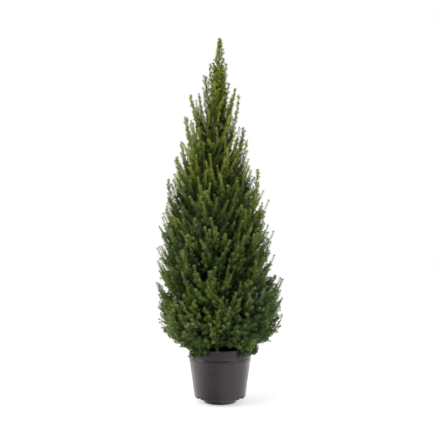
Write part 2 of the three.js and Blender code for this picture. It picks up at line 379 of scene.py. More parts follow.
def add_node(
    tree: Tree,
    kind: str,
    settings: dict[str, object] | None = None,
    inputs: dict[str | int, object] | None = None,
) -> bpy.types.Node:
    """Adds a node to a material.

    Args:
        tree: the material's node tree.
        kind: the node's type name.
        settings: the node's own attributes.
        inputs: a value or a socket to link for each input, by its name or number.

    Returns:
        The new node.
    """
    node = tree.nodes.new(kind)
    for key, value in (settings or {}).items():
        setattr(node, key, value)
    for key, value in (inputs or {}).items():
        if isinstance(value, Socket):
            tree.links.new(value, node.inputs[key])
        else:
            node.inputs[key].default_value = value
    return node


def new_tree(name: str) -> tuple[Material, Tree]:
    """Makes a node material with nothing in it."""
    material = bpy.data.materials.new(name)
    material.use_nodes = True
    material.node_tree.nodes.clear()
    return material, material.node_tree


def set_surface(tree: Tree, inputs: dict[str | int, object]) -> None:
    """Ends a material in one Principled shader with the given inputs."""
    shader = add_node(tree, "ShaderNodeBsdfPrincipled", inputs=inputs)
    add_node(tree, "ShaderNodeOutputMaterial", inputs={"Surface": shader.outputs[0]})


def spot_on(tree: Tree) -> Socket:
    """Adds the place on the object, in metres, and returns its socket."""
    return add_node(tree, "ShaderNodeTexCoord").outputs["Object"]


def noise(tree: Tree, size_mm: float, **inputs: float) -> Socket:
    """Adds noise on the object whose features are about size_mm across, and returns its factor."""
    values = {"Vector": spot_on(tree), "Scale": 1 / (size_mm * MM), **inputs}
    return add_node(tree, "ShaderNodeTexNoise", inputs=values).outputs["Fac"]


def combine(tree: Tree, operation: str, first: Socket, second: Socket | float) -> Socket:
    """Adds a product or another operation on two numbers, and returns its result."""
    return add_node(tree, "ShaderNodeMath", {"operation": operation}, {0: first, 1: second}).outputs[0]


def mix(tree: Tree, factor: Socket, first: Socket | Colour, second: Socket | Colour) -> Socket:
    """Adds a mix of two colours, the first at factor 0 and the second at 1, and returns its colour."""
    inputs = {0: factor, 6: first, 7: second}
    return add_node(tree, "ShaderNodeMix", {"data_type": "RGBA"}, inputs).outputs[2]


def bump(tree: Tree, height: Socket, strength: float, depth_mm: float) -> Socket:
    """Adds relief depth_mm deep that follows a height, and returns its normal."""
    inputs = {"Strength": strength, "Distance": depth_mm * MM, "Height": height}
    return add_node(tree, "ShaderNodeBump", inputs=inputs).outputs[0]


def remap(tree: Tree, value: Socket, low: float, high: float, to: Range = (0.0, 1.0)) -> Socket:
    """Adds a straight map from low and high to the two ends of another range, and returns its result."""
    inputs = {"Value": value, "From Min": low, "From Max": high, "To Min": to[0], "To Max": to[1]}
    return add_node(tree, "ShaderNodeMapRange", inputs=inputs).outputs[0]


def ramp(tree: Tree, factor: Socket, *stops: tuple[float, str | float]) -> Socket:
    """Adds a ramp of colours or of grey levels.

    Args:
        tree: the material's node tree.
        factor: what the ramp reads.
        stops: the factor of each stop, and its hex colour or its grey level in linear light, in order.

    Returns:
        The ramp's colour socket.
    """
    node = add_node(tree, "ShaderNodeValToRGB", inputs={"Fac": factor})
    elements = node.color_ramp.elements
    for _ in stops[2:]:
        elements.new(0.5)
    for element, (position, tone) in zip(elements, stops):
        element.position = position
        element.color = linear(tone) if isinstance(tone, str) else (tone, tone, tone, 1)
    return node.outputs["Color"]


@dataclass(frozen=True)
class PlainSkin:
    """A plant's own skin in one colour: a waxy needle has a soft highlight, and thin bark almost none."""

    name: str
    colour: str
    roughness: float = 0.5
    specular: float = 0.35
    ior: float = 1.43

    def make(self) -> Material:
        """Builds the material."""
        material, tree = new_tree(self.name)
        skin = {"Base Color": linear(self.colour), "Roughness": self.roughness, "IOR": self.ior}
        set_surface(tree, skin | {"Specular IOR Level": self.specular})
        return material


class Needle(Enum):
    """Needles from the freshest to the oldest, then the bluish, the dry and the pale bluish ones."""

    FRESH = PlainSkin("needle_fresh", "#a4ae4a")
    BRIGHT = PlainSkin("needle_bright", "#80913b")
    MID = PlainSkin("needle_mid", "#5a7534")
    DEEP = PlainSkin("needle_deep", "#4b682d")
    OLD = PlainSkin("needle_old", "#445a29")
    BLUE = PlainSkin("needle_bluish", "#56704a")
    DRY = PlainSkin("needle_dry", "#5e4a2b", 0.7, 0.25)
    PALE = PlainSkin("needle_pale", "#879b60")

    @property
    def slot(self) -> int:
        """Finds the number of the colour's material slot."""
        return list(Needle).index(self)


class Wood(Enum):
    """Thin wood without relief: this year's olive shoots, tan twigs, and older brown ones."""

    SHOOT = PlainSkin("shoot_olive", "#5c6a36", 0.65, 0.3)
    TWIG = PlainSkin("twig_tan", "#4a4129", 0.8, 0.2)
    BRANCH = PlainSkin("branch_brown", "#3b2d23", 0.85, 0.2)


class Crumb(Enum):
    """Loose bits on the compost: dark peat, brown bark and a few pale fibres."""

    PEAT = PlainSkin("crumb_peat", "#21170f", 0.9, 0.2)
    BARK = PlainSkin("crumb_bark", "#3f2a1c", 0.9, 0.2)
    FIBRE = PlainSkin("crumb_fibre", "#6a4d34", 0.85, 0.2)


@dataclass(frozen=True)
class ConiferBark:
    """Young spruce bark: dry, matt, grey-brown scales about 4 mm across, with darker brown cracks."""

    name: str = "spruce_bark"
    scale_colour: str = "#74675a"
    under: str = "#54402f"
    crack: str = "#271b14"
    scale_mm: float = 4.5
    scale_squat: float = 0.45  # a scale's width over its length along the stem
    crack_wide: float = 0.12  # as a share of a scale
    mottle_mm: float = 7.0
    relief_mm: float = 0.8

    def make(self) -> Material:
        """Builds the material: cells stretched along the stem part the scales, and noise mottles them."""
        material, tree = new_tree(self.name)
        pace = 1 / (self.scale_mm * MM)
        stretch = {"Vector": spot_on(tree), "Scale": (pace, pace, self.scale_squat * pace)}
        cell = {"Vector": add_node(tree, "ShaderNodeMapping", inputs=stretch).outputs[0], "Scale": 1.0}
        cells = add_node(tree, "ShaderNodeTexVoronoi", {"feature": "DISTANCE_TO_EDGE"}, cell)
        whole = remap(tree, cells.outputs["Distance"], 0.0, self.crack_wide)
        mottle = noise(tree, self.mottle_mm, Detail=6.0, Roughness=0.6)
        scales = ramp(tree, mottle, (0.38, self.under), (0.62, self.scale_colour))
        mixed = mix(tree, whole, linear(self.crack), scales)
        skin = {"Base Color": mixed, "Roughness": 0.88, "Specular IOR Level": 0.25}
        set_surface(tree, skin | {"Normal": bump(tree, whole, 0.6, self.relief_mm)})
        return material


@dataclass(frozen=True)
class MouldedPolypropylene:
    """Injection-moulded recycled polypropylene: near black with a brown cast, satin, with faint flow marks."""

    name: str = "moulded_polypropylene"
    body: str = "#24181f"
    pale: str = "#2d1f27"
    dust: str = "#5d5652"
    roughness: Range = (0.25, 0.40)
    flow_mm: float = 60.0
    speck_mm: float = 3.5
    grain_mm: float = 6.0  # coarser than the real 1 mm, which would not show
    grain_deep_mm: float = 0.15
    dust_height: float = 0.030

    def make(self) -> Material:
        """Builds the material: slow flow marks tint it, dust lies low on it, and a grain breaks its gloss."""
        material, tree = new_tree(self.name)
        flow = noise(tree, self.flow_mm, Detail=2.0, Roughness=0.5)
        tint = ramp(tree, flow, (0.35, self.body), (0.7, self.pale))
        height = add_node(tree, "ShaderNodeSeparateXYZ", inputs={"Vector": spot_on(tree)}).outputs["Z"]
        low = remap(tree, height, self.dust_height, 0.0)
        dusty = combine(tree, "MULTIPLY", low, noise(tree, self.speck_mm, Detail=4.0, Roughness=0.7))
        grain = noise(tree, self.grain_mm, Detail=2.0)
        skin = {"Base Color": mix(tree, dusty, tint, linear(self.dust)), "IOR": 1.49}
        skin |= {"Roughness": remap(tree, flow, 0.3, 0.75, self.roughness)}
        set_surface(tree, skin | {"Normal": bump(tree, grain, 0.1, self.grain_deep_mm)})
        return material


@dataclass(frozen=True)
class MoistPeat:
    """Moist peat compost: dark brown crumbs about 3 mm across with paler fibres, matt with a trace of damp."""

    name: str = "moist_peat"
    dark: str = "#1c130d"
    pale: str = "#4b3525"
    crumb_mm: float = 3.0
    relief_mm: float = 1.5

    def make(self) -> Material:
        """Builds the material: noise of the crumbs' size sets its colour and its relief."""
        material, tree = new_tree(self.name)
        crumbs = noise(tree, self.crumb_mm, Detail=6.0, Roughness=0.7)
        skin = {"Base Color": ramp(tree, crumbs, (0.4, self.dark), (0.75, self.pale)), "Roughness": 0.85}
        set_surface(tree, skin | {"IOR": 1.4, "Normal": bump(tree, crumbs, 0.8, self.relief_mm)})
        return material


# ---------------------------------------------------------------- wood


@dataclass
class Crown:
    """The outline that foliage fills: a full skirt, a slimmer body, a step in to the top, a slender spike."""

    top: float
    # height, and radius about the crown's middle line
    outline: Pairs = (
        (0.203, 0.136), (0.216, 0.148), (0.232, 0.174), (0.250, 0.199), (0.280, 0.226), (0.350, 0.234),
        (0.450, 0.237), (0.485, 0.233), (0.530, 0.221), (0.600, 0.209), (0.700, 0.202), (0.785, 0.188),
        (0.835, 0.181), (0.870, 0.146), (0.960, 0.130), (1.000, 0.110), (1.050, 0.099), (1.100, 0.086),
        (1.140, 0.068), (1.185, 0.051), (1.250, 0.034), (1.320, 0.024), (1.405, 0.008),
    )
    # height, and how far the middle line stands to X
    lean: Pairs = (
        (0.46, 0.0), (0.52, -0.012), (0.60, -0.018), (0.85, -0.020), (0.93, -0.027), (1.10, -0.029),
        (1.19, -0.016), (1.30, -0.008), (1.40, -0.002),
    )
    uneven: float = 0.035  # how far up or down the outline waves
    wave: float = 0.9
    waves_start: Span = (0.45, 0.15)
    waves_end: Span = (1.25, -0.1)

    def radius(self, height: Array, turn: Array) -> Array:
        """Finds the crown's radius about its middle line.

        Args:
            height: heights above the ground.
            turn: angles from +X.

        Returns:
            The outline, read at a height that waves up and down round the plant, most at its front and back.
        """
        waves = ripple(2 * turn / math.tau, height / self.wave, seed=3, octaves=2)
        shift = self.uneven * np.abs(np.sin(turn)) * waves
        part = grade(height, *self.waves_start) * grade(height, *self.waves_end)
        return np.interp(height + shift * part, *zip(*self.outline))

    def middle(self, height: Array) -> Array:
        """Finds the points of the crown's middle line at the given heights."""
        return upright(np.interp(height, *zip(*self.lean)), height)

    def depth(self, places: Array) -> Array:
        """Finds how far places lie inside the outline, measured level."""
        off = places - self.middle(places[..., 2])
        turn = np.arctan2(off[..., 1], off[..., 0])
        return self.radius(places[..., 2], turn) - np.hypot(off[..., 0], off[..., 1])


@dataclass
class Trunk:
    """The trunk: a tapering stem with a flared, lobed foot, from the compost to the leader."""

    foot: float
    tip: float
    sway: float = 0.0105
    sway_from: float = 0.6
    top: float = 1.405
    radius_low: float = 0.0125
    radius_tip: float = 0.0016
    taper: float = 0.9  # power of the height by which it thins
    flare: float = 0.0065
    flare_height: float = 0.034
    lobes: int = 5
    lobe_depth: float = 0.16
    lobe_turn: float = 0.7
    plate_length: float = 0.03
    crack_length: float = 0.012
    relief: float = 0.0011
    sides: int = 40
    stations: int = 300
    crowding: float = 1.25  # power that brings the stations closer together low down

    def line(self, height: Array) -> Array:
        """Finds the trunk's middle at heights: half a sine wave to -X above the height where it starts."""
        share = grade(height, self.sway_from, self.top - self.sway_from)
        return upright(-self.sway * np.sin(math.pi * share), height)

    def radius(self, height: Array) -> Array:
        """Finds the trunk's radius: an almost even taper, plus a flare that fades as a square."""
        share = grade(height, self.foot, self.tip - self.foot)
        flare = self.flare * (1 - grade(height, self.foot, self.flare_height)) ** 2
        return self.radius_low + (self.radius_tip - self.radius_low) * share**self.taper + flare

    def build(self, bark: Material) -> bpy.types.Object:
        """Builds the trunk as one sweep, whose radius carries root lobes low down and bark all the way up."""
        height = self.foot + (self.tip - self.foot) * np.linspace(0, 1, self.stations) ** self.crowding
        angle = np.arange(self.sides) / self.sides
        radius = self.radius(height)[:, None]
        low = (1 - grade(height, self.foot, 2 * self.flare_height))[:, None] ** 2
        lobed = radius * (1 + self.lobe_depth * low * np.cos(self.lobes * angle * math.tau + self.lobe_turn))
        plates = ripple(3 * angle, height[:, None] / self.plate_length, seed=5)
        cracks = np.abs(ripple(6 * angle, height[:, None] / self.crack_length, seed=6))
        relief = self.relief * (plates - cracks) * np.minimum(radius / self.radius_low, 1)
        vertices, faces = sweep(self.line(height)[None], (lobed + relief)[None], self.sides)
        return build_mesh("trunk_bark", vertices, faces, [bark])


@dataclass
class Boughs:
    """The main boughs. Each leaves the trunk where its CAD bough does, then rises in its mass to near its tip."""

    crown: Crown
    trunk: Trunk
    masses: list[str]
    thick: tuple[float, ...] = (0.0052, 0.0048, 0.0042, 0.0036, 0.003)  # radius in each tier
    tip_radius: float = 0.0012
    taper: float = 0.8  # power of the way to the tip by which a bough thins
    collar: float = 0.35  # how much thicker it is where it leaves the trunk
    collar_pace: float = 22.0  # and how fast that fades
    start_above: float = 0.004  # above the lower end of the CAD bough's box
    entry_below: float = 0.003  # below its upper end, where the bough enters its mass
    set_out: float = 0.62  # how far towards the entry the first handle reaches
    set_out_rise: float = 0.6
    entry_pull: float = 0.75  # how much the second handle keeps to the entry
    tip_share: float = 0.8
    below_tip: float = 0.045
    leader_from: float = 0.95
    scale_length: float = 0.02
    relief: float = 0.0005
    sides: int = 12
    stations: int = 48

    def curves(self) -> Array:
        """Lays each bough as a Bezier curve, and last the trunk's top, which carries the leader's foliage."""
        laid = []
        for name in self.masses[:-1]:
            low, high = (np.array(corner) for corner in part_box(name.replace("mass", "bough")))
            near, far = np.where(np.abs(low) < np.abs(high), [low, high], [high, low])
            start = self.trunk.line(np.array(min(near[2], far[2]) + self.start_above))
            entry = np.array([far[0], far[1], max(near[2], far[2]) - self.entry_below])
            top = np.array(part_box(name))[1, 2] - self.below_tip
            out = unit((entry - start) * LEVEL)
            reach = self.crown.radius(np.array(top), np.arctan2(out[1], out[0]))
            end = self.crown.middle(np.array(top)) + out * reach * self.tip_share
            first = start + self.set_out * (entry - start) * [1, 1, self.set_out_rise]
            laid.append([start, first, self.entry_pull * entry + (1 - self.entry_pull) * end, end])
        heights = np.linspace(self.leader_from, self.trunk.tip, 4)
        return np.array([*laid, self.trunk.line(heights)])

    def build(self, bark: Material) -> None:
        """Builds each bough as a sweep with small bark scales, thick at its collar and thin at its tip."""
        share = np.linspace(0, 1, self.stations)
        angle = np.arange(self.sides) / self.sides
        for number, (name, curve) in enumerate(zip(self.masses[:-1], self.curves())):
            thick = self.thick[TIERS.index(name.split("_")[0])]
            thinning = self.tip_radius + (thick - self.tip_radius) * (1 - share) ** self.taper
            radius = thinning + self.collar * thick * np.exp(-self.collar_pace * share)
            points, _ = bezier(curve[None, None], share[None])
            length = arc_lengths(curve[None])[0]
            scales = ripple(2 * angle, share[:, None] * length / self.scale_length, seed=40 + number)
            uneven = radius[:, None] + self.relief * scales * (radius / thick)[:, None]
            vertices, faces = sweep(points, uneven[None], self.sides)
            piece = build_mesh(name.replace("mass", "bough_bark"), vertices, faces, [bark])
            place(piece, "bark", name.replace("mass", "bough"))


# ---------------------------------------------------------------- foliage


@dataclass
class Rows:
    """Arrays that hold one row for each of the same things."""

    @classmethod
    def of(cls, curves: Array, **columns: Array | float) -> "Rows":
        """Makes rows from their curves, with every other column given as an array or as one number for all."""
        count = len(curves)
        return cls(curves, **{name: np.broadcast_to(column, count) for name, column in columns.items()})

    def join(self, *others: "Rows") -> "Rows":
        """Puts the rows of others after these."""
        columns = (np.concatenate([getattr(rows, f.name) for rows in (self, *others)]) for f in fields(self))
        return type(self)(*columns)


@dataclass
class Shoots(Rows):
    """Curves that carry needles."""

    curves: Array
    mass: Array  # number of the mass that it belongs to
    # higher tones are older needles, and in places painted shade
    tone: Array  # 0 is the freshest green
    thick: Array  # radius of its wood at its foot
    leafy: Array  # needles along a metre of it
    broad: Array  # width of its needles over the usual width


@dataclass
class Stalks(Shoots):
    """Branch ends and the twigs behind them, each a curve that side shoots leave all round."""

    shoots: Array  # how many leave it
    reach: Array  # length of its lowest shoots
    blunt: Array  # length of its highest shoots over that of its lowest
    spread: Array  # angle between the curve and its lowest shoots
    first: Array  # share of the curve at which the lowest shoot leaves
    last: Array  # share at which the highest does


@dataclass
class Foliage:
    """All that grows on the trunk and boughs: branch ends, the twigs that bear them, side shoots and needles."""

    crown: Crown
    trunk: Trunk
    boughs: Boughs
    masses: list[str]
    rim: tuple[float, float]  # the pot's radius and height at its rim
    rng: np.random.Generator

    # needles
    leafy: float = 820.0  # along a metre of shoot
    cap: int = 8  # needles that round off a shoot's tip
    cap_inside: int = 4  # the same on old shoots inside the crown
    cap_length: float = 0.005
    cap_lean: float = 65.0  # degrees by which the outermost of them lean
    lean: Range = (60.0, 54.0)  # degrees by which the others lean, at a shoot's foot and at its tip
    needle_length: float = 0.0096
    needle_width: float = 0.0027
    old_broad: float = 1.35  # width of an old shoot's needles over that
    widest_at: float = 0.45  # share of a needle's length where it is widest
    keel: float = 0.3  # how deep its fold is, over its width
    ageing: Pairs = ((0, 1.4), (0.5, 0.5), (1, 0.0))  # share of a shoot, and tone added there
    fresher: Pairs = ((0.45, -0.2), (0.65, 0.0), (1.0, 0.5))  # height, and tone taken off there
    # needles deeper in the crown take a darker tone: partly older needles, partly painted shade
    age_and_painted_shade_depth: float = 0.03  # depth inside the crown that adds one tone
    blue_patch: float = 0.5  # height of the bluish patches, which are more low on the right
    blue_right: Span = (0.0, 0.1)
    blue_low: Span = (0.6, -0.2)
    blue_below: Span = (0.9, -0.3)
    dry_tone: float = 2.6
    dry_share: float = 0.06
    paleness: Pairs = ((0.45, 0.85), (0.9, 0.0))  # height, and the pale share of the freshest needles

    # thin wood: the least radius, the sides and the stations of each kind, in the order of Wood
    tubes: tuple[tuple[float, int, int], ...] = ((0.0, 3, 2), (0.001, 4, 4), (0.0015, 5, 5))
    thinning: float = 0.55
    side_shoot: float = 0.0008  # radius of its wood

    # ends over the crown
    ends_on_crown: int = 780
    ends_inside: int = 340
    above_foot: float = 0.004
    highest: float = 1.2
    highest_inside: float = 1.04
    inside_share: Range = (0.3, 0.9)  # of the crown's radius, where the ends inside it are
    narrowest_reach: float = 0.012
    widest_reach: float = 0.243
    lump: float = 0.009
    candle_from: float = 0.30
    candles: Pairs = ((0.30, 0.18), (0.42, 0.40), (0.9, 0.42))  # height, and the share that are candles
    candle_proud: Range = (0.002, 0.016)
    candle_rise: float = 1.25
    # height, and degrees by which ends rise there
    rises: Pairs = (
        (0.20, -8), (0.24, 8), (0.30, 34), (0.42, 48), (0.70, 58), (0.95, 70), (1.15, 80), (1.40, 86),
    )
    upper: Span = (0.6, 0.5)
    slender: Span = (0.22, 0.36)
    end_length: Range = (0.085, 0.120)
    lowest_foot: float = 0.235
    lowest_tip: float = 0.218
    front: Span = (0.38, 0.2)  # angle from the front
    front_lift: float = 0.030
    over_pot: Span = (0.130, -0.004)
    pot_lift: float = 0.020
    # painted shade: ends low on the crown take darker needles, from none at this height to full a span lower
    painted_shade_below: Span = (0.30, -0.04)
    parting_turn: float = -84.5
    parting_wide: float = 0.16
    parting_deep: float = 0.04
    parting_below: Span = (0.345, -0.04)

    # spires, and those at the crown's sides: the tip's place along X, its height, and how wide the spire is
    spires_round: int = 15
    spire_heights: Range = (0.86, 1.22)
    spire_proud: Range = (0.002, 0.014)
    side_spires: tuple[Triple, ...] = (
        (-0.056, 1.252, 0.019), (-0.081, 1.184, 0.010), (-0.112, 1.172, 0.013), (-0.135, 1.092, 0.012),
        (-0.150, 0.998, 0.012), (-0.200, 0.852, 0.016), (0.033, 1.222, 0.012), (0.058, 1.202, 0.009),
        (0.071, 1.175, 0.009), (0.090, 1.052, 0.012), (0.104, 1.004, 0.012), (0.146, 0.890, 0.015),
    )
    spire_widening: float = 1.7  # length of a side spire's shoots over its width

    # the leader's ends and companions: the tip's distance from the trunk, its height, its turn in degrees
    ends_on_leader: int = 60
    leader_from: float = 1.12
    leader_short: float = 0.008  # how far below the top the highest end is
    leader_end: float = 0.042
    leader_reach: Pairs = ((0, 0.030), (0.5, 0.026), (0.64, 0.021), (0.78, 0.014), (0.9, 0.007), (1, 0.002))
    companions: tuple[Triple, ...] = (
        (0.033, 1.297, 176), (0.026, 1.296, -8), (0.013, 1.306, -110), (0.012, 1.300, 80),
        (0.019, 1.288, 215), (0.017, 1.284, 25), (0.022, 1.272, -80), (0.024, 1.262, 62),
        (0.020, 1.240, 140), (0.028, 1.236, -140), (0.030, 1.215, -50), (0.026, 1.225, 20),
        (0.036, 1.200, 100),
    )
    companion_length: Range = (0.13, 0.17)

    # the fringe that hangs over the rim, in degrees from +X
    fringe: int = 56
    fringe_turn: Range = (-52, 242)
    fringe_gap: Range = (160, 211)
    fringe_out: Range = (0.0135, 0.0225)  # its tips, outside the rim
    fringe_down: Range = (0.012, 0.023)  # and below its top
    fringe_foot_in: float = 0.065
    fringe_foot_up: Range = (0.053, 0.059)
    needle_room: tuple[float, float] = (0.006, 0.004)  # outside the rim and above it

    # twigs
    twig_from: float = 0.12  # share of a bough where the first may leave
    twig_lean: float = 0.7  # cosine of the angle at which they like to leave it
    twig_strict: float = 1.5  # how much another angle counts against a place
    twig_step: float = 0.022  # length of twig for each side shoot

    def mass_of(self, places: Array) -> Array:
        """Finds the mass whose box each place is nearest to, counted in half-sizes of the box."""
        corners = np.array([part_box(name) for name in self.masses])
        centre, half = corners.mean(axis=1), (corners[:, 1] - corners[:, 0]) / 2
        return (((places[:, None] - centre) / half) ** 2).sum(axis=-1).argmin(axis=1)

    def stalks(self, curves: Array, **columns: Array | float) -> Stalks:
        """Makes stalks from their curves and columns, leafy and with needles of the usual width if not told."""
        return Stalks.of(curves, **({"leafy": self.leafy, "broad": 1.0} | columns))

    def tones(self, mean: float, spread: float, count: int) -> Array:
        """Draws the tones of count stalks, none fresher than the freshest."""
        return np.clip(self.rng.normal(mean, spread, count), 0, 3)

    def lowest(self, turn: Array, radius: Array) -> Array:
        """Finds how low an end may reach: less low at the front and over the pot than elsewhere."""
        front = 1 - grade(np.abs(angle_from(turn, -math.pi / 2)), *self.front)
        over_pot = grade(radius, *self.over_pot)
        return self.lowest_tip + np.maximum(self.front_lift * front, self.pot_lift * over_pot)

    def parting(self, turn: Array, height: Array) -> Array:
        """Finds how deep places are, from 0 to 1, in the parting low at the crown's front, where ends stand further
        in and their needles take a painted shade.
        """
        off = angle_from(turn, math.radians(self.parting_turn))
        return np.exp(-((off / self.parting_wide) ** 2)) * grade(height, *self.parting_below)

    def even_heights(self, count: int, highest: float) -> Array:
        """Finds count heights in order that share out the crown's surface evenly, up to the highest."""
        heights = np.linspace(self.crown.outline[0][0] + self.above_foot, highest, 800)
        radii = self.crown.radius(heights, 0 * heights)
        area = np.cumsum(radii * np.hypot(1, np.gradient(radii, heights)))
        return np.interp((np.arange(count) + 0.5) / count * area[-1], area, heights)

    def ends_over_crown(self, count: int, inside: bool) -> Stalks:
        """Spreads branch ends evenly over the crown by the golden angle.

        Args:
            count: how many.
            inside: whether they stand well inside the crown, old and sparse, or at its outline, where some are
                upright candles that stand proud of the rest.

        Returns:
            The ends, each a little in or out of the surface it belongs to, with a heading that rises with height.
        """
        rng = self.rng
        height = self.even_heights(count, self.highest_inside if inside else self.highest)
        height = height + rng.normal(0, 0.012, count)
        turn = np.arange(count) * GOLDEN + rng.normal(0, 0.06, count) + inside
        lumps = self.lump * ripple(turn / math.tau * 7, height / 0.16, seed=11, octaves=2)
        lumps = lumps + rng.normal(-0.009, 0.006, count)
        candle = rng.random(count) < np.interp(height, *zip(*self.candles))
        candle = candle & (height > self.candle_from) & (not inside)
        lumps = lumps + np.where(candle, rng.uniform(*self.candle_proud, count), 0)
        parted = self.parting(turn, height)
        radius = self.crown.radius(height, turn) + (lumps - self.parting_deep * parted)
        if inside:
            radius = radius * rng.uniform(*self.inside_share, count)
        else:
            radius = np.clip(radius, self.narrowest_reach, self.widest_reach)
        height = np.maximum(height, self.lowest(turn, radius))
        out, side = outward(turn), outward(turn + math.pi / 2)
        tip = self.crown.middle(height) + out * radius[:, None]
        upper = grade(height, *self.upper)
        slender = grade(height, *self.slender) * (not inside)
        # painted shade: a darker tone for needles in the parting and low on the crown, where shade falls
        painted_shade = 0.9 * parted + 0.4 * grade(height, *self.painted_shade_below)
        rise = np.radians(np.interp(height, *zip(*self.rises))) + rng.normal(0, 0.16, count)
        rise = np.where(candle, np.maximum(rise, self.candle_rise), rise)
        aside = side * rng.normal(0, 0.2, (count, 1))
        arrives = unit(turned(out, UP, rise) + aside)
        sets_out = unit(turned(out, UP, rise - np.where(candle, 0.75, 0.45)) + aside)
        length = rng.uniform(*self.end_length, count) + 0.07 * upper + 0.015 * slender
        foot = tip - length[:, None] * unit(arrives + sets_out)
        foot[:, 2] = np.maximum(foot[:, 2], self.lowest_foot)
        return self.stalks(
            between(foot, tip, sets_out, arrives),
            mass=self.mass_of(tip),
            tone=self.tones(0.9, 0.6, count) - 0.3 * candle + 2.2 * inside + painted_shade,
            thick=0.0011,
            leafy=self.leafy * (0.6 if inside else 1) * (1 + 0.15 * upper),
            broad=self.old_broad if inside else 1.0,
            shoots=rng.integers(8, 11, count) + np.round(4 * upper).astype(int) - 2 * inside,
            reach=rng.uniform(0.030, 0.042, count) * (1 - 0.42 * upper) * (1 - 0.14 * slender),
            blunt=0.45 + 0.15 * upper,
            spread=np.radians(rng.uniform(38, 50, count) - 11 * slender),
            first=0.10,
            last=np.where(candle, 0.62, 0.86 - 0.12 * slender),
        )

    def spires(self) -> Stalks:
        """Stands slender upright branch ends out of the upper crown, at its two sides and all round it."""
        rng, middle = self.rng, self.crown.middle
        side = np.array(self.side_spires)
        edge = np.stack([side[:, 0], rng.uniform(-0.02, 0.02, len(side)), side[:, 1]], axis=1)
        turn = np.arange(self.spires_round) * GOLDEN + 0.9
        height = np.linspace(*self.spire_heights, self.spires_round)[rng.permutation(self.spires_round)]
        reach = self.crown.radius(height, turn) + rng.uniform(*self.spire_proud, self.spires_round)
        tip = np.concatenate([edge, middle(height) + outward(turn) * reach[:, None]])
        count = len(tip)
        out = unit((tip - middle(tip[:, 2])) * LEVEL)
        arrives = unit(UP + out * rng.uniform(0.02, 0.22, (count, 1)))
        sets_out = unit(UP + out * rng.uniform(0.3, 0.5, (count, 1)))
        foot = tip - rng.uniform(0.16, 0.23, (count, 1)) * unit(arrives + sets_out)
        own_reach = self.spire_widening * side[:, 2]
        return self.stalks(
            between(foot, tip, sets_out, arrives),
            mass=self.mass_of(tip),
            tone=self.tones(0.9, 0.5, count),
            thick=0.0013,
            shoots=rng.integers(20, 27, count),
            reach=np.concatenate([own_reach, rng.uniform(0.014, 0.032, self.spires_round)]),
            blunt=0.45,
            spread=np.radians(rng.uniform(36, 46, count)),
            first=0.04,
            last=0.96,
        )

    def ends_on_trunk(self) -> Stalks:
        """Clothes the leader in short ends by the golden angle, shorter towards its tip."""
        rng, count = self.rng, self.ends_on_leader
        share = (np.arange(count) + 0.5) / count
        height = self.leader_from + (self.crown.top - self.leader_short - self.leader_from) * share
        out = outward(np.arange(count) * GOLDEN)
        start = height - self.leader_end * (1 - 0.7 * share)
        foot = self.trunk.line(np.minimum(start, self.trunk.tip - 0.001))
        reach = np.interp(share, *zip(*self.leader_reach))
        tip = self.trunk.line(height) + out * (reach * rng.uniform(0.55, 1.2, count))[:, None]
        return self.stalks(
            between(foot, tip, unit(UP * 0.8 + out), unit(UP + 0.25 * out)),
            mass=len(self.masses) - 1,
            tone=self.tones(0.8, 0.4, count),
            thick=0.0009,
            shoots=np.where(share < 0.6, 5, 2),
            reach=0.020 - 0.008 * share,
            blunt=0.6,
            spread=0.6,
            first=0.15,
            last=0.85,
        )

    def leader_companions(self) -> Stalks:
        """Stands upright branch ends close round the leader, which they join low down."""
        rng, count = self.rng, len(self.companions)
        far, height, degrees = np.array(self.companions).T
        out = outward(np.radians(degrees))
        foot = self.trunk.line(height - rng.uniform(*self.companion_length, count)) + 0.003 * out
        tip = self.trunk.line(height) + out * far[:, None]
        return self.stalks(
            between(foot, tip, unit(UP + 0.5 * out), unit(UP + 0.02 * out)),
            mass=len(self.masses) - 1,
            tone=self.tones(0.8, 0.4, count),
            thick=0.0013,
            shoots=rng.integers(15, 20, count),
            reach=rng.uniform(0.015, 0.022, count),
            blunt=0.45,
            spread=0.66,
            first=0.1,
            last=0.93,
        )

    def ends_over_rim(self) -> Stalks:
        """Hangs branch ends in arches over the pot's rim, apart from its front and a gap near -X."""
        rng = self.rng
        degrees = np.linspace(*self.fringe_turn, self.fringe)
        turn = np.radians(degrees[(degrees < self.fringe_gap[0]) | (degrees > self.fringe_gap[1])])
        count = len(turn)
        turn = turn + rng.normal(0, 0.05, count)
        rim_radius, rim_top = self.rim
        out, side = outward(turn), outward(turn + math.pi / 2)
        reach = rim_radius + rng.uniform(*self.fringe_out, (count, 1))
        tip = out * reach + UP * (rim_top - rng.uniform(*self.fringe_down, (count, 1)))
        rise = rng.uniform(*self.fringe_foot_up, (count, 1))
        foot = out * (rim_radius - self.fringe_foot_in) + UP * (rim_top + rise)
        aside = side * rng.normal(0, 0.12, (count, 1))
        return self.stalks(
            between(foot, tip, unit(out + aside), unit(0.45 * out - 0.9 * UP + aside)),
            mass=self.mass_of(tip),
            # painted shade: the fringe's tone is darker for the shade under the crown
            tone=self.tones(1.7, 0.5, count),
            thick=0.0011,
            shoots=rng.integers(10, 13, count),
            reach=rng.uniform(0.022, 0.030, count),
            blunt=0.6,
            spread=np.radians(rng.uniform(38, 50, count)),
            first=0.2,
            last=0.92,
        )

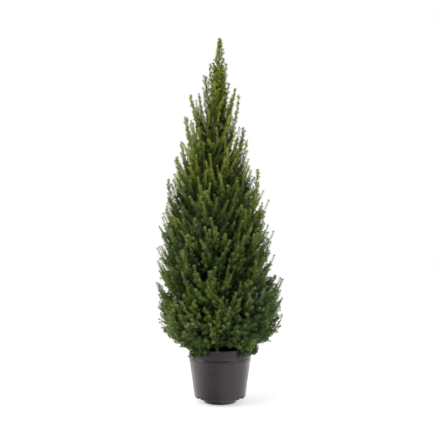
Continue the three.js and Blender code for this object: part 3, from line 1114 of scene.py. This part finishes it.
    def twigs_to(self, ends: Stalks) -> Stalks:
        """Grows a twig from each end's foot back to the bough of its mass.

        Args:
            ends: branch ends.

        Returns:
            Twigs, which carry sparser, older foliage. Each starts at the place on the bough that is near the
            end's foot and from which the way to it leaves the bough at about 45 degrees.
        """
        boughs = self.boughs.curves()[ends.mass]
        share = np.broadcast_to(np.linspace(self.twig_from, 1, 32), (len(boughs), 32))
        places, along = bezier(boughs[:, None], share)
        way = ends.curves[:, :1] - places
        far = np.linalg.norm(way, axis=-1)
        lean = (way * along).sum(axis=-1) / np.maximum(far, 1e-6)
        best = (far * (1 + self.twig_strict * (lean - self.twig_lean) ** 2)).argmin(axis=1)
        row = np.arange(len(boughs))
        arrives = unit(ends.curves[:, 1] - ends.curves[:, 0])
        sets_out = unit(unit(way[row, best]) + 0.7 * along[row, best])
        curves = between(places[row, best], ends.curves[:, 0], sets_out, arrives)
        kept = arc_lengths(curves) > 0.001
        count = int(kept.sum())
        return self.stalks(
            curves[kept],
            mass=ends.mass[kept],
            tone=np.maximum(ends.tone[kept] + 1.8, 2.2),
            thick=0.0018,
            leafy=0.35 * self.leafy,
            broad=self.old_broad,
            shoots=np.clip(arc_lengths(curves[kept]) / self.twig_step, 1, 6).astype(int),
            reach=self.rng.uniform(0.026, 0.040, count),
            blunt=0.8,
            spread=np.radians(self.rng.uniform(40, 60, count)),
            first=0.15,
            last=0.9,
        )

    def clear_of_pot(self, places: Array) -> Array:
        """Tells which places are above the pot's rim or outside it, with room for needles."""
        radius, top = self.rim[0] + self.needle_room[0], self.rim[1] + self.needle_room[1]
        return (places[:, 2] > top) | (np.hypot(places[:, 0], places[:, 1]) > radius)

    def shoots_of(self, stalks: Stalks) -> Shoots:
        """Grows the side shoots of stalks, and counts each stalk itself as one more shoot.

        Args:
            stalks: the stalks.

        Returns:
            Shoots. Each leaves at the golden angle from the one before, at the stalk's spread, and then bends
            towards the stalk's own way and the light. Shoots are shorter and closer to the stalk towards its tip.
            Those that would grow into the pot are left out.
        """
        rng, total = self.rng, len(stalks.mass)
        owner, number = dealt(stalks.shoots)
        count = len(owner)
        step = (number + 0.5) / stalks.shoots[owner]
        share = stalks.first[owner] + (stalks.last - stalks.first)[owner] * step + rng.normal(0, 0.015, count)
        foot, along = bezier(stalks.curves[owner], np.clip(share, 0.01, 0.98))
        side, over = across(along)
        out = turned(side, over, number * GOLDEN + rng.uniform(0, math.tau, total)[owner])
        lean = stalks.spread[owner] * (1.05 - 0.25 * step) + rng.normal(0, 0.08, count)
        sets_out = turned(along, out, lean)
        arrives = unit(sets_out + 0.4 * along + 0.3 * UP)
        length = stalks.reach[owner] * (1 - (1 - stalks.blunt[owner]) * step) * rng.uniform(0.8, 1.2, count)
        tip = foot + length[:, None] * unit(sets_out + 0.8 * arrives)
        clear = self.clear_of_pot(tip) & self.clear_of_pot((foot + tip) / 2)
        owner = owner[clear]
        curves = np.concatenate([stalks.curves, between(foot, tip, sets_out, arrives)[clear]])
        owners = np.concatenate([np.arange(total), owner])
        # darker deeper in the crown: older needles, and painted shade
        inside = np.clip(self.crown.depth(curves[:, 3]) / self.age_and_painted_shade_depth, -0.3, 2.6)
        fresher = np.interp(curves[:, 3, 2], *zip(*self.fresher))
        leafy = np.maximum(stalks.leafy[owner], 0.6 * self.leafy)
        return Shoots.of(
            curves,
            mass=stalks.mass[owners],
            tone=stalks.tone[owners] + inside - fresher + rng.normal(0, 0.35, len(curves)),
            thick=np.concatenate([stalks.thick, np.full(len(owner), self.side_shoot)]),
            leafy=np.concatenate([0.75 * stalks.leafy, leafy]),
            broad=stalks.broad[owners],
        )

    def needles(self, shoots: Shoots) -> tuple[Array, Array, Array]:
        """Sets needles on shoots.

        Args:
            shoots: the shoots.

        Returns:
            The four corners of each needle, its tone and its mass. A needle leaves its shoot at the golden
            angle from the one before and leans forwards. The last ones fan out from the shoot's tip at every
            lean, which rounds it off. Each is a kite folded along its middle, with its keel away from the shoot.
        """
        rng = self.rng
        length = arc_lengths(shoots.curves)
        cap = np.where(shoots.broad > 1, self.cap_inside, self.cap)
        number = np.maximum(np.round(length * shoots.leafy), 4).astype(int) + cap
        owner, index = dealt(number)
        count = len(owner)
        share = np.clip((index + 0.5 + rng.uniform(-0.4, 0.4, count)) / (number - cap)[owner], 0, 1) ** 0.8
        foot, along = bezier(shoots.curves[owner], share)
        side, over = across(along)
        turn = index * GOLDEN + rng.uniform(0, math.tau, len(number))[owner] + rng.normal(0, 0.2, count)
        out = turned(side, over, turn)
        from_tip = grade((1 - share) * length[owner], 0, self.cap_length)
        fan = self.cap_lean * np.sqrt(rng.random(count))
        lean = fan + (np.interp(share, [0, 1], self.lean) - fan) * from_tip + rng.normal(0, 6, count)
        way = unit(turned(along, out, np.radians(lean)) + 0.08 * UP)
        wide = unit(np.cross(way, out))
        width = self.needle_width * shoots.broad[owner, None]
        long = self.needle_length * rng.uniform(0.82, 1.14, count) * (0.8 + 0.2 * from_tip)
        foot = foot + 0.7 * shoots.thick[owner, None] * out
        middle = foot + self.widest_at * long[:, None] * way - self.keel * width * np.cross(wide, way)
        half = 0.5 * width * wide
        corners = np.stack([foot, middle + half, foot + long[:, None] * way, middle - half], axis=1)
        return corners, shoots.tone[owner] + np.interp(share, *zip(*self.ageing)), shoots.mass[owner]

    def colours(self, tips: Array, tone: Array) -> Array:
        """Deals a colour to each needle by its tone, and a bluish, dry or pale one by chance and place.

        Args:
            tips: the needles' tips.
            tone: their tones.

        Returns:
            The number of each needle's material slot.
        """
        rng, count = self.rng, len(tone)
        x, y, height = tips.T
        finish = np.clip(tone, Needle.FRESH.slot, Needle.OLD.slot).astype(int)
        patch = ripple(np.arctan2(y, x) / math.tau, height / self.blue_patch, seed=23, octaves=3)
        low_right = grade(x, *self.blue_right) * grade(height, *self.blue_low)
        chance = np.clip(0.25 + 0.6 * patch + 0.4 * low_right, 0, 0.7)
        chance = chance * np.maximum(grade(height, *self.blue_below), 0.1)
        middling = (finish > Needle.FRESH.slot) & (finish < Needle.OLD.slot)
        finish = np.where((rng.random(count) < chance) & middling, Needle.BLUE.slot, finish)
        dry = (tone > self.dry_tone) & (rng.random(count) < self.dry_share)
        finish = np.where(dry, Needle.DRY.slot, finish)
        often = np.interp(height, *zip(*self.paleness))
        pale = (finish == Needle.FRESH.slot) & (rng.random(count) < often)
        return np.where(pale, Needle.PALE.slot, finish)

    def build_needles(self, shoots: Shoots, finishes: list[Material]) -> None:
        """Builds one piece of needles for each mass, each needle two triangles in its colour."""
        corners, tone, mass = self.needles(shoots)
        finish = self.colours(corners[:, 2], tone)
        kite = np.array([[0, 1, 2], [0, 2, 3]])
        for number, name in enumerate(self.masses):
            own = np.flatnonzero(mass == number)
            faces = [many(kite, 4, len(own))]
            slots = np.repeat(finish[own], 2)
            title = name.replace("mass", "needles")
            piece = build_mesh(title, corners[own].reshape(-1, 3), faces, finishes, slots, smooth=False)
            place(piece, "foliage", name)

    def build_twigs(self, shoots: Shoots, woods: list[Material]) -> None:
        """Builds one piece of thin wood for each tier: three-sided shoots, and stouter twigs behind them."""
        tier_of = np.array([TIERS.index(name.split("_")[0]) for name in self.masses])[shoots.mass]
        kind_of = np.digitize(shoots.thick, [least for least, _, _ in self.tubes[1:]])
        for level, tier in enumerate(TIERS):
            vertices, walls, caps = [], [], []
            for kind, (_, sides, stations) in enumerate(self.tubes):
                own = np.flatnonzero((kind_of == kind) & (tier_of == level))
                if not len(own):
                    continue
                share = np.linspace(0, 1, stations)
                points, _ = bezier(shoots.curves[own, None], np.broadcast_to(share, (len(own), stations)))
                tube, (wall, cap) = sweep(points, shoots.thick[own, None] * (1 - self.thinning * share), sides)
                start = sum(map(len, vertices))
                vertices.append(tube)
                walls.append((kind, wall + start))
                caps.append((kind, cap + start))
            groups = walls + caps
            slots = np.concatenate([np.full(len(faces), kind) for kind, faces in groups])
            faces = [faces for _, faces in groups]
            place(build_mesh(f"{tier}_twigs", np.concatenate(vertices), faces, woods, slots), "bark")

    def build(self) -> None:
        """Grows everything and builds it."""
        ends = self.ends_over_crown(self.ends_on_crown, False)
        ends = ends.join(self.ends_over_crown(self.ends_inside, True), self.spires())
        leader = self.ends_on_trunk().join(self.leader_companions())
        ends = ends.join(self.ends_over_rim())
        shoots = self.shoots_of(ends.join(leader, self.twigs_to(ends)))
        self.build_needles(shoots, [needle.value.make() for needle in Needle])
        self.build_twigs(shoots, [wood.value.make() for wood in Wood])


# ---------------------------------------------------------------- pot and compost


@dataclass
class Pot:
    """The nursery pot: a thin moulding with a banded rim, a shoulder, a tapered wall and a plinth below it."""

    height: float
    rim_radius: float
    rim_foot: float = 0.1775
    shoulder_foot: float = 0.158
    shoulder_radius: float = 0.1192
    wall_top_radius: float = 0.1176
    wall_foot_radius: float = 0.0984
    wall_foot: float = 0.020
    plinth_radius: float = 0.063
    plastic: float = 0.002
    undercut: float = 0.0012
    recess: float = 0.0012  # of the underside, inside the ring that it stands on
    base_top: float = 0.0032
    slots: tuple[int, ...] = (35, 145, 215, 325)
    slot_wide: float = 0.022
    slot_rise: float = 0.008
    slot_round: float = 0.003
    slot_cut: Range = (-0.012, 0.010)  # from inside the wall's foot to outside it
    columns: int = 144
    longest: float = 0.012  # of the profile's steps
    crease: float = 32.0  # least angle, in degrees, of an edge that stays crisp

    def profile(self) -> Array:
        """Lays the profile: along the underside, up the outside, over the rim and down the inside."""
        wall, plinth, foot = self.plastic, self.plinth_radius, self.rim_foot
        rim, shoulder, top = self.rim_radius, self.shoulder_radius, self.wall_top_radius
        corners = [
            (0, self.recess, 0),
            (plinth - 0.004, self.recess, 0.0005),
            (plinth - 0.003, 0, 0.0004),
            (plinth, 0, 0.0008),
            (plinth + 0.0006, 0.0035, 0.0004),
            (plinth + 0.0001, 0.0041, 0.0003),
            (plinth + 0.002, self.wall_foot, 0.001),
            (self.wall_foot_radius, self.wall_foot, 0.004),
            (top, self.shoulder_foot, 0.0006),
            (shoulder, self.shoulder_foot + 0.0012, 0.0006),
            (shoulder, foot - 0.006, 0.0008),
            (shoulder - self.undercut, foot - 0.0015, 0.0006),
            (shoulder - self.undercut, foot, 0.0004),
            (rim - 0.0004, foot + 0.0004, 0.0004),
            (rim, self.height, 0.0008),
            (rim - wall, self.height, 0.0008),
            (rim - wall - 0.001, foot, 0.001),
            (top - wall, self.shoulder_foot, 0.002),
            (self.wall_foot_radius - wall, self.wall_foot + wall, 0.004),
            (plinth, self.wall_foot + wall, 0.001),
            (plinth - wall, self.base_top, 0.001),
            (0, self.base_top, 0),
        ]
        return refined(rounded(corners), self.longest)

    def build(self, plastic: Material) -> bpy.types.Object:
        """Turns the profile, cuts the drain slots at the wall's foot and keeps the edges crisp."""
        pot = build_mesh("pot_moulding", *revolve(self.profile(), self.columns), [plastic])
        cutter = build_mesh("slot_cutter", *self.slot_shapes(), [plastic])
        cut = pot.modifiers.new("slots", "BOOLEAN")
        cut.object, cut.solver = cutter, "EXACT"
        evaluated = pot.evaluated_get(bpy.context.evaluated_depsgraph_get())
        shaped = bpy.data.meshes.new_from_object(evaluated)
        pot.modifiers.clear()
        pot.data = shaped
        bpy.data.objects.remove(cutter)
        shaped.polygons.foreach_set("use_smooth", np.ones(len(shaped.polygons), dtype=bool))
        shaped.set_sharp_from_angle(angle=math.radians(self.crease))
        return pot

    def slot_shapes(self) -> Solid:
        """Makes the slots' solids: round-cornered blocks that reach in through the wall's foot."""
        half, rise, soft = self.slot_wide / 2, self.slot_rise, self.slot_round
        sides = [(half, -rise, soft), (half, rise, soft), (-half, rise, soft), (-half, -rise, soft)]
        block = rounded([(0, -rise, 0), *sides, (0, -rise, 0)])[:-1]
        depth = self.wall_foot_radius + np.array(self.slot_cut)
        turn = np.radians(self.slots)[:, None]
        out, side = outward(turn), outward(turn + math.pi / 2)
        rings = block[:, :1] * side + (block[:, 1:] + self.wall_foot) * UP
        solids = depth[:, None, None] * out[:, None] + rings[:, None]
        return solids.reshape(-1, 3), closed(2, len(block), len(self.slots))


@dataclass
class Compost:
    """The compost: a rough surface, mounded round the trunk, with loose crumbs on it."""

    top: float
    radius: float
    pot: Pot
    rng: np.random.Generator
    sunk: float = 0.001
    roughness: float = 0.0012
    columns: int = 120
    rings: int = 46
    bed: float = 0.0036  # height of its underside inside the plinth
    over_step: float = 0.003  # how much higher than the wall's foot it is outside that
    crumbs: int = 1500
    crumb_half: tuple[float, float] = (0.00075, 0.0018)  # the least, and what the largest adds
    crumb_skew: float = 2.5
    crumb_shares: tuple[float, ...] = (0.5, 0.38, 0.12)  # of peat, bark and fibre
    clear_of_trunk: float = 0.021
    clear_of_wall: float = 0.004

    def height(self, radius: Array, turn: Array) -> Array:
        """Finds the surface, which falls 7 mm from the trunk to the wall and is lumpy.

        Args:
            radius: distances from the axis.
            turn: angles from +X.

        Returns:
            Heights above the ground.
        """
        fall = np.interp(radius, [0.024, 0.060, self.radius], [0, 0.003, 0.007])
        lumps = ripple(2 * turn / math.tau * 3, radius / 0.03, seed=31)
        grit = ripple(9 * turn / math.tau, radius / 0.009, seed=32, octaves=2)
        inside = grade(radius, self.radius, -0.006) * grade(radius, 0, 0.02)
        return self.top - self.sunk - fall + self.roughness * (lumps + 0.5 * grit) * inside

    def build(self, peat: Material) -> bpy.types.Object:
        """Turns the fill's profile, and roughens the rings of its upper side."""
        step, plinth = self.pot.wall_foot + self.over_step, self.pot.plinth_radius
        inner = self.pot.wall_foot_radius - self.pot.plastic
        side = [
            (0, self.bed),
            (plinth - 0.0032, self.bed),
            (plinth - 0.0012, step),
            (inner - 0.0035, step),
            (self.radius, self.top - 0.012),
        ]
        upside = [(ring, self.top) for ring in np.linspace(self.radius, 0, self.rings)[:-1]]
        profile = np.array([*side, *upside, (0, self.top - self.sunk)])
        vertices, faces = revolve(profile, self.columns)
        upper = vertices[(len(side) - 1) * self.columns : -2]
        turn = np.arctan2(upper[:, 1], upper[:, 0])
        upper[:, 2] = self.height(np.hypot(upper[:, 0], upper[:, 1]), turn)
        return build_mesh("compost_fill", vertices, faces, [peat])

    def build_crumbs(self, browns: list[Material]) -> bpy.types.Object:
        """Scatters crumbs: eight-sided lumps 1.5 to 5 mm across, each turned, squashed and uneven."""
        rng, count = self.rng, self.crumbs
        radius = np.sqrt(rng.uniform(self.clear_of_trunk**2, (self.radius - self.clear_of_wall) ** 2, count))
        turn = rng.uniform(-math.pi, math.pi, count)
        least, more = self.crumb_half
        size = least + more * rng.random(count) ** self.crumb_skew
        corners = np.stack([np.eye(3), -np.eye(3)], axis=1).reshape(6, 3)
        upside, underside = [[0, 2, 4], [2, 1, 4], [1, 3, 4], [3, 0, 4]], [[2, 0, 5], [1, 2, 5], [3, 1, 5], [0, 3, 5]]
        sides = np.array(upside + underside)
        lumps = corners[None] * (1 + rng.uniform(-0.35, 0.35, (count, 6, 1)))
        lumps = lumps + rng.normal(0, 0.12, (count, 6, 3))
        spin = np.linalg.qr(rng.normal(size=(count, 3, 3)))[0]
        spin = spin * np.sign(np.linalg.det(spin))[:, None, None]
        stretch = np.stack([rng.uniform(1, 1.9, count), np.ones(count), rng.uniform(0.5, 0.9, count)], axis=1)
        lumps = np.einsum("nij,nkj->nki", spin, lumps * stretch[:, None]) * size[:, None, None]
        spot = outward(turn) * radius[:, None] + (self.height(radius, turn) + 0.4 * size)[:, None] * UP
        finish = np.repeat(rng.choice(len(self.crumb_shares), count, p=self.crumb_shares), len(sides))
        vertices = (lumps + spot[:, None]).reshape(-1, 3)
        return build_mesh("compost_crumbs", vertices, [many(sides, 6, count)], browns, finish, smooth=False)


# ---------------------------------------------------------------- studio


@dataclass
class Studio:
    """A white studio: a pale floor, soft panels on both sides and above, and a camera level with the plant."""

    camera_distance: float = 3.08
    camera_height: float = 0.738
    aim_height: float = 0.698
    lens: float = 65.3
    # soft panels: name, place, width and height, watts
    panels: tuple[tuple[str, Triple, tuple[float, float], float], ...] = (
        ("panel_left", (-2.6, -0.6, 1.5), (1.2, 2.2), 41),
        ("panel_right", (2.1, -1.4, 1.1), (1.3, 2.0), 13),
        ("panel_top", (-0.5, -1.2, 3.1), (2.0, 2.0), 46),
    )
    panel_aim: float = 0.6
    # how bright the surround is as a light, from the front through the sides to the back
    surround: Pairs = ((0.0, 0.17), (0.40, 0.24), (0.58, 0.90), (1.0, 1.0))
    # the same for the floor as a share of its most, from the pot's left through its front to its right
    floor_glow: Pairs = (
        (0.0, 0.88), (0.05, 0.46), (0.17, 0.13), (0.35, 0.09), (0.48, 0.19),
        (0.60, 0.45), (0.80, 0.59), (0.95, 0.68), (1.0, 0.80),
    )
    floor_most: float = 1.20
    floor_seen: float = 0.55
    floor_reach: float = 6.0
    floor_white: float = 0.72

    def stand(self, name: str, data: bpy.types.ID, spot: Triple, aim_height: float) -> bpy.types.Object:
        """Stands a lamp or camera at a place, so that it faces a height on the plant's middle line."""
        thing = bpy.data.objects.new(name, data)
        thing.location = spot
        way = Vector((0, 0, aim_height)) - thing.location
        thing.rotation_euler = way.to_track_quat("-Z", "Y").to_euler()
        bpy.context.scene.collection.objects.link(thing)
        return thing

    def build(self) -> None:
        """Sets the camera, the lights, the surround and the floor."""
        scene = bpy.context.scene
        scene.view_settings.view_transform = "Standard"
        data = bpy.data.cameras.new("camera")
        data.lens, data.sensor_width = self.lens, 36
        spot = (0, -self.camera_distance, self.camera_height)
        scene.camera = self.stand("camera", data, spot, self.aim_height)
        for name, spot, size, watts in self.panels:
            light = bpy.data.lights.new(name, "AREA")
            light.shape, light.size, light.size_y, light.energy = "RECTANGLE", *size, watts
            self.stand(name, light, spot, self.panel_aim)
        self.build_surround()
        self.build_floor()

    def build_surround(self) -> None:
        """Makes the world plain white to the eye, and as a light dimmer in front than behind."""
        world = bpy.data.worlds.new("white_surround")
        world.use_nodes = True
        tree = world.node_tree
        tree.nodes.clear()
        way = add_node(tree, "ShaderNodeTexCoord").outputs["Generated"]
        back = add_node(tree, "ShaderNodeSeparateXYZ", inputs={"Vector": way}).outputs["Y"]
        seen = add_node(tree, "ShaderNodeLightPath").outputs["Is Camera Ray"]
        grey = ramp(tree, remap(tree, back, -1.0, 1.0), *self.surround)
        glow = add_node(tree, "ShaderNodeBackground", inputs={"Color": mix(tree, seen, grey, (1, 1, 1, 1))})
        add_node(tree, "ShaderNodeOutputWorld", inputs={"Surface": glow.outputs[0]})
        bpy.context.scene.world = world

    def build_floor(self) -> None:
        """Lays a matt white floor that glows a little, so that only the pot's own shade shows on it.

        The light that it sends to the plant depends on the direction from the pot: least in front on the left,
        most at the sides and behind, so that the round pot shades off evenly across its width.
        """
        corners = np.array([[-1, -1, 0], [1, -1, 0], [1, 1, 0], [-1, 1, 0]]) * self.floor_reach
        material, tree = new_tree("white_floor")
        spot = spot_on(tree)
        way = add_node(tree, "ShaderNodeVectorMath", {"operation": "NORMALIZE"}, {0: spot}).outputs["Vector"]
        split = add_node(tree, "ShaderNodeSeparateXYZ", inputs={"Vector": way}).outputs
        far = add_node(tree, "ShaderNodeVectorMath", {"operation": "LENGTH"}, {0: spot}).outputs["Value"]
        level = ramp(tree, remap(tree, split["X"], -1.0, 1.0), *self.floor_glow)
        front = combine(tree, "MULTIPLY", level, remap(tree, far, 0.5, 1.3, (1.0, 0.5)))
        glow = combine(tree, "MAXIMUM", front, remap(tree, split["Y"], -0.1, 0.35))
        strong = combine(tree, "MULTIPLY", glow, self.floor_most)
        seen = add_node(tree, "ShaderNodeLightPath").outputs["Is Camera Ray"]
        strength = add_node(tree, "ShaderNodeMix", inputs={0: seen, 2: strong, 3: self.floor_seen}).outputs[0]
        white = self.floor_white
        skin = {"Base Color": (white, white, white, 1), "Roughness": 0.9, "Specular IOR Level": 0.1}
        skin |= {"Emission Color": (1, 1, 1, 1), "Emission Strength": strength}
        set_surface(tree, skin)
        build_mesh("floor", corners, [np.array([[0, 1, 2, 3]])], [material])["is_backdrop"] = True


def main() -> None:
    """Builds the plant, its pot and the studio in order, and reports each piece."""
    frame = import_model()
    cad_box = [list(corner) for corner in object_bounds()]
    masses = [name for name in sorted(frame["nodes"]) if "_mass" in name and name != "leader_mass"]
    masses.sort(key=lambda name: (TIERS.index(name.split("_")[0]), name))
    masses.append("leader_mass")

    crown = Crown(top=cad_box[1][2])
    trunk_low, trunk_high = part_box("trunk")
    trunk = Trunk(trunk_low[2], trunk_high[2])
    bark = ConiferBark().make()
    place(trunk.build(bark), "bark", "trunk")
    boughs = Boughs(crown, trunk, masses)
    boughs.build(bark)
    pot_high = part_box("pot")[1]
    Foliage(crown, trunk, boughs, masses, (pot_high[1], pot_high[2]), np.random.default_rng(SEED)).build()

    pot = Pot(height=pot_high[2], rim_radius=pot_high[1])
    place(pot.build(MouldedPolypropylene().make()), "pot", "pot")
    compost_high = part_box("compost")[1]
    compost = Compost(compost_high[2], compost_high[1], pot, np.random.default_rng(SEED + 1))
    place(compost.build(MoistPeat().make()), "compost", "compost")
    place(compost.build_crumbs([crumb.value.make() for crumb in Crumb]), "compost")

    Studio().build()


if __name__ == "__main__":
    logging.basicConfig(level=logging.INFO, format="%(message)s")
    main()
